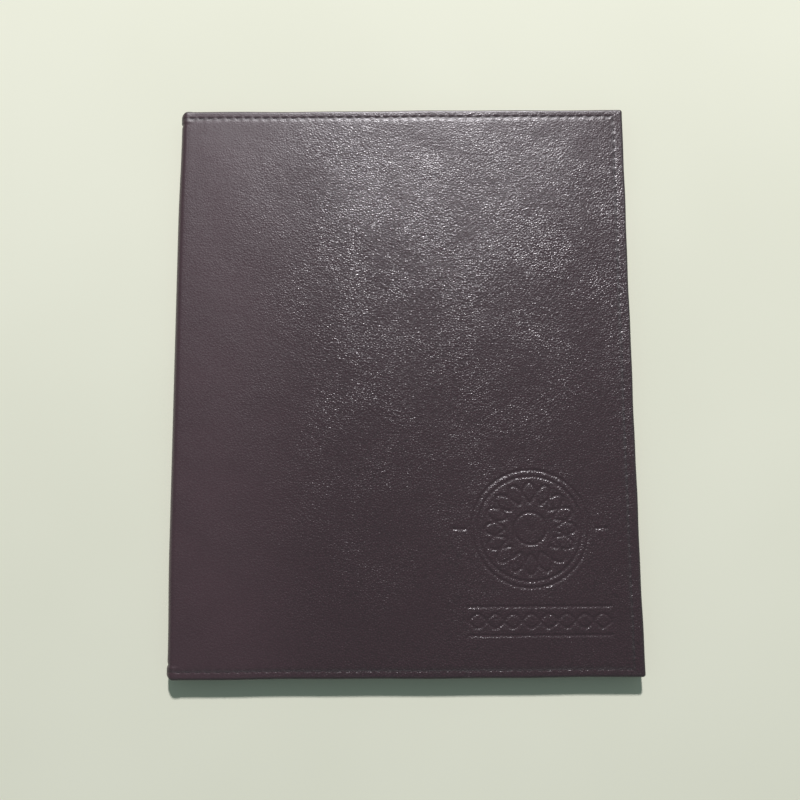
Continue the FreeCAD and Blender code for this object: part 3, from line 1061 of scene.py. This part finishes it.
def weave_material(name, base, other, size, rough, depth):
    """Plain-woven cloth, with threads size millimetres apart."""
    n = new_material(name)
    place = n.unrolled()
    parts = n.parts(place)
    warp = n.math("SINE", n.times(parts["X"], pi / size))
    weft = n.math("SINE", n.times(parts["Y"], pi / size))
    height = n.times(warp, weft)
    slub = n.noise(place, 2.5, detail=3.0)
    # the weave's low parts take the darker colour: painted shade
    shown = n.mix(n.span(height, -0.8, 0.8), colour(other), colour(base))
    shown = n.mix(n.span(slub, 0.35, 0.7, 0.0, 0.5), shown, colour(base, 0.75))
    fine = n.plus(n.times(height, 0.5), n.times(slub, 0.8))
    dull = n.span(slub, 0.3, 0.7, rough, rough + 0.1)
    return n.shade(Base_Color=shown, Roughness=dull, Normal=n.bump(fine, depth), Sheen_Weight=0.15)


def thread_material(name, base):
    """Waxed sewing thread."""
    n = new_material(name)
    place = n.object_mm()
    fibre = n.noise(place, 0.12, detail=3.0)
    shown = n.mix(n.span(fibre, 0.3, 0.7), colour(base, 0.6), colour(base))
    dull = n.span(fibre, 0.3, 0.7, 0.6, 0.75)
    return n.shade(Base_Color=shown, Roughness=dull, Normal=n.bump(fibre, 0.05))


def plain_material(name, base, dark, size, rough, depth):
    """Foam, board, card or another matt stock with a mottle of one size."""
    n = new_material(name)
    place = n.object_mm()
    mottle = n.noise(place, size, detail=5.0, roughness=0.65)
    flecks = n.span(n.noise(place, size * 0.2, detail=2.0), 0.52, 0.68)
    shown = n.mix(n.span(mottle, 0.3, 0.7), colour(dark), colour(base))
    shown = n.mix(n.times(flecks, 0.3), shown, colour(dark, 0.6))
    dull = n.span(mottle, 0.3, 0.7, rough, rough + 0.08)
    return n.shade(Base_Color=shown, Roughness=dull, Normal=n.bump(mottle, depth))


def paper_material(name):
    """Writing paper, ruled in pale lines with a margin."""
    n = new_material(name)
    place = n.unrolled()
    parts = n.parts(place)
    pad_low, pad_high = box_mm("pad_sheets")
    ruling, first_line, margin_x = 8.0, pad_high.y - 30.0, pad_low.x + 28.0
    rows = n.math("MODULO", n.math("SUBTRACT", first_line, parts["Y"]), ruling)
    on_line = n.times(n.math("LESS_THAN", rows, 0.3), n.math("GREATER_THAN", rows, 0.0))
    on_line = n.times(on_line, n.math("LESS_THAN", parts["Y"], first_line + 1.0))
    margin = n.math("ABSOLUTE", n.math("SUBTRACT", parts["X"], margin_x))
    on_margin = n.math("LESS_THAN", margin, 0.2)
    fibre = n.noise(place, 0.6, detail=4.0)
    shown = n.mix(n.span(fibre, 0.3, 0.7), colour((0.80, 0.79, 0.74)), colour((0.86, 0.85, 0.81)))
    shown = n.mix(n.times(on_line, 0.6), shown, colour((0.36, 0.45, 0.56)))
    shown = n.mix(n.times(on_margin, 0.6), shown, colour((0.62, 0.30, 0.30)))
    dull = n.span(fibre, 0.3, 0.7, 0.75, 0.85)
    return n.shade(Base_Color=shown, Roughness=dull, Normal=n.bump(fibre, 0.02))


def elastic_material(name):
    """Ribbed elastic."""
    n = new_material(name)
    place = n.unrolled()
    parts = n.parts(place)
    picks = n.math("SINE", n.times(parts["X"], tau / 0.5))
    lint = n.noise(place, 0.4, detail=3.0)
    # the valleys between ribs are drawn darker: painted shade
    shown = n.mix(n.span(picks, -0.7, 0.7), colour((0.012, 0.011, 0.012)), colour((0.035, 0.031, 0.034)))
    shown = n.mix(n.span(lint, 0.5, 0.8, 0.0, 0.4), shown, colour((0.06, 0.055, 0.058)))
    dull = n.span(lint, 0.3, 0.7, 0.7, 0.85)
    return n.shade(Base_Color=shown, Roughness=dull, Normal=n.bump(picks, 0.05))


def floor_material(name):
    """A plain pale bench top."""
    n = new_material(name)
    place = n.object_mm()
    cloudy = n.noise(place, 260.0, detail=3.0)
    grit = n.noise(place, 1.6, detail=4.0)
    shown = n.mix(n.span(cloudy, 0.3, 0.7), colour((0.80, 0.805, 0.66)), colour((0.835, 0.84, 0.695)))
    return n.shade(Base_Color=shown, Roughness=0.75, Normal=n.bump(grit, 0.03, 0.5), Specular_IOR_Level=0.2)


# ---------------- the object


# Where pieces start and end their bend on the back cover: (x, z)
LEATHER_BEND = ((BEND_X, 0.0), (SPINE_X, BEND_RADIUS))
LINING_BEND = ((BEND_X + 0.6, 1.4), (SPINE_X + 1.6, BEND_RADIUS + 0.4))
LINER_REACH = SPINE_FLAT + pi


def finish_piece(piece, nodes, body=None):
    """Puts a piece on its body, if it is given one, and hides the CAD nodes that it stands for."""
    if body:
        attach(piece, body)
    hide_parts(*nodes)


def finish_bent(piece, nodes, front, bend=LEATHER_BEND):
    """Finishes a piece that goes round the corner of the spine."""
    first, last = ((x * MM, 0.0, (TOP_Z - z if front else z) * MM) for x, z in bend)
    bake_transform(piece)
    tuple(first)
    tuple(last)
    finish_piece(piece, nodes)


def recoat(node, material):
    """Gives a CAD node that keeps its shape another material."""
    slots = frame["nodes"][node].data.materials
    slots.clear()
    slots.append(material)


# After its colours each has the size of its pattern in millimetres, its roughness and its relief's depth
leather = leather_material("leather", (0.050, 0.022, 0.030), (0.028, 0.013, 0.017), 1.1, 0.27, 0.1)
pocket_leather = leather_material(
    "pocket_leather", (0.048, 0.026, 0.033), (0.036, 0.019, 0.025), 0.8, 0.46, 0.03
)
cloth = weave_material("lining_cloth", (0.052, 0.043, 0.047), (0.030, 0.024, 0.027), 0.42, 0.72, 0.08)
thread = thread_material("seam_thread", (0.034, 0.023, 0.028))
foam = plain_material("foam", (0.26, 0.26, 0.27), (0.20, 0.20, 0.21), 0.8, 0.85, 0.1)
greyboard = plain_material("greyboard", (0.38, 0.33, 0.27), (0.30, 0.26, 0.21), 2.4, 0.82, 0.06)
liner = plain_material("spine_liner", (0.22, 0.21, 0.2), (0.16, 0.15, 0.14), 1.2, 0.8, 0.08)
pad_card = plain_material("pad_card", (0.44, 0.39, 0.32), (0.36, 0.32, 0.26), 3.0, 0.8, 0.05)
tape = weave_material("binding_tape", (0.060, 0.050, 0.058), (0.035, 0.029, 0.034), 0.3, 0.6, 0.05)

for cover in ("front", "back"):
    front = cover == "front"
    face = skin(f"{cover}_skin", front, leather)
    finish_bent(face, [f"{cover}_leather", "spine_leather"], front)

    inner = lining(f"{cover}_lining_cloth", front, cloth)
    finish_bent(inner, [f"{cover}_lining", "spine_lining"], front, LINING_BEND)

    seam = perimeter_stitches(f"{cover}_stitching", front, False, thread)
    finish_bent(seam, [f"{cover}_seam_thread"], front)
    bobbin = perimeter_stitches(f"{cover}_bobbin_stitching", front, True, thread)
    finish_bent(bobbin, [f"{cover}_bobbin_thread"], front, LINING_BEND)

    padding = layer(f"{cover}_foam_layer", front, (LINER_REACH, u_of(BOARD_FORE_X)), foam)
    finish_bent(padding, [f"{cover}_foam"], front)
    stiffener = layer(f"{cover}_spine_liner", front, (0.05, LINER_REACH), liner)
    finish_bent(stiffener, ["spine_reinforcement"], front)
    recoat(f"{cover}_board", greyboard)

finish_piece(spine_stitches("spine_stitching", thread), ["spine_seam_thread"], "spine")

recoat("pad_backing_board", pad_card)

for stem, body, mouth in (("pad_pocket", "back", 0.0), ("document_pocket", "front", 0.15)):
    recoat(f"{stem}_gusset", pocket_leather)
    pocket = PlateSpec(f"{stem}_panel")
    panel = plate(f"{stem}_flap", pocket, pocket_leather, mouth)
    finish_piece(panel, [f"{stem}_panel"], body)
    sewing = plate_stitches(f"{stem}_stitching", pocket, u_runs(pocket) + mouth_run(pocket), thread)
    finish_piece(sewing, [f"{stem}_thread"], body)

card_specs = {level: PlateSpec(f"card_pocket_{level}") for level in ("upper", "middle", "lower")}
for level, pocket in card_specs.items():
    panel = plate(f"card_flap_{level}", pocket, pocket_leather)
    finish_piece(panel, [f"card_pocket_{level}"], "front")
    if level == "lower":
        runs = u_runs(pocket)
    else:
        below = card_specs["middle" if level == "upper" else "lower"].y[1] + 0.6
        sides = (pocket.x[0] + PLATE_SEAM, pocket.x[1] - PLATE_SEAM)
        runs = [((x, below), (x, pocket.y[1] - PLATE_SEAM)) for x in sides]
    sewing = plate_stitches(f"card_stitching_{level}", pocket, runs + mouth_run(pocket), thread)
    finish_piece(sewing, ["card_pocket_thread"], "front")

finish_piece(pen_loop("pen_loop_tape", elastic_material("elastic")), ["pen_loop"], "back")
finish_piece(paper("pad_paper", paper_material("ruled_paper")), ["pad_sheets"], "writing_pad")
finish_piece(binding("pad_binding_tape", tape), ["pad_binding"], "writing_pad")


# ---------------- bench, light and camera


def floor():
    """A large level bench top, just under the cover."""
    half = 2.4
    mesh = bpy.data.meshes.new("bench")
    corners = [(-half, -half, 0), (half, -half, 0), (half, half, 0), (-half, half, 0)]
    mesh.from_pydata(corners, [], [(0, 1, 2, 3)])
    mesh.materials.append(floor_material("bench_top"))
    bench = shown_object("bench", mesh)
    bench.location.z = FLOOR_Z * MM - 0.0001


def key_light():
    """A far lamp beyond the head, aimed at the middle of the cover. Azimuth 0 is towards +Y."""
    azimuth, elevation, distance = radians(2.8), radians(44.0), 3.0
    lamp = bpy.data.lights.new("key", "AREA")
    lamp.shape = "DISK"
    lamp.size = 0.24
    lamp.energy = 95.0
    lamp.color = (1.0, 0.965, 1.0)
    holder = shown_object("key", lamp)
    level = cos(elevation)
    toward = Vector((sin(azimuth) * level, cos(azimuth) * level, sin(elevation)))
    holder.location = toward * distance
    holder.rotation_mode = "QUATERNION"
    holder.rotation_quaternion = (-toward).to_track_quat("-Z", "Y")


def camera():
    """Almost straight above the closed cover, a little towards its tail."""
    data = bpy.data.cameras.new("camera")
    data.lens = 42.18
    data.sensor_width = 36.0
    data.clip_start = 0.01
    eye = shown_object("camera", data)
    turn = Matrix.Rotation(radians(-0.369), 4, "Z") @ Matrix.Rotation(radians(-0.074), 4, "Y")
    turn = turn @ Matrix.Rotation(radians(8.078), 4, "X")
    eye.matrix_world = Matrix.Translation(Vector((-2.82, -80.89, 512.22)) * MM) @ turn
    bpy.context.scene.camera = eye


def world():
    """A room with pale walls low down all round, and a dimmer ceiling."""
    n = Nodes(bpy.data.worlds.new("studio"), "Background")
    height = n.parts(n.new("ShaderNodeTexCoord").outputs["Generated"])["Z"]
    walls, ceiling = colour((0.58, 0.63, 0.56)), colour((0.138, 0.180, 0.178))
    bpy.context.scene.world = n.shade(Color=n.mix(n.span(height, 0.0, 0.3), walls, ceiling))


floor()
world()
key_light()
camera()
bpy.context.scene.view_settings.view_transform = "Standard"
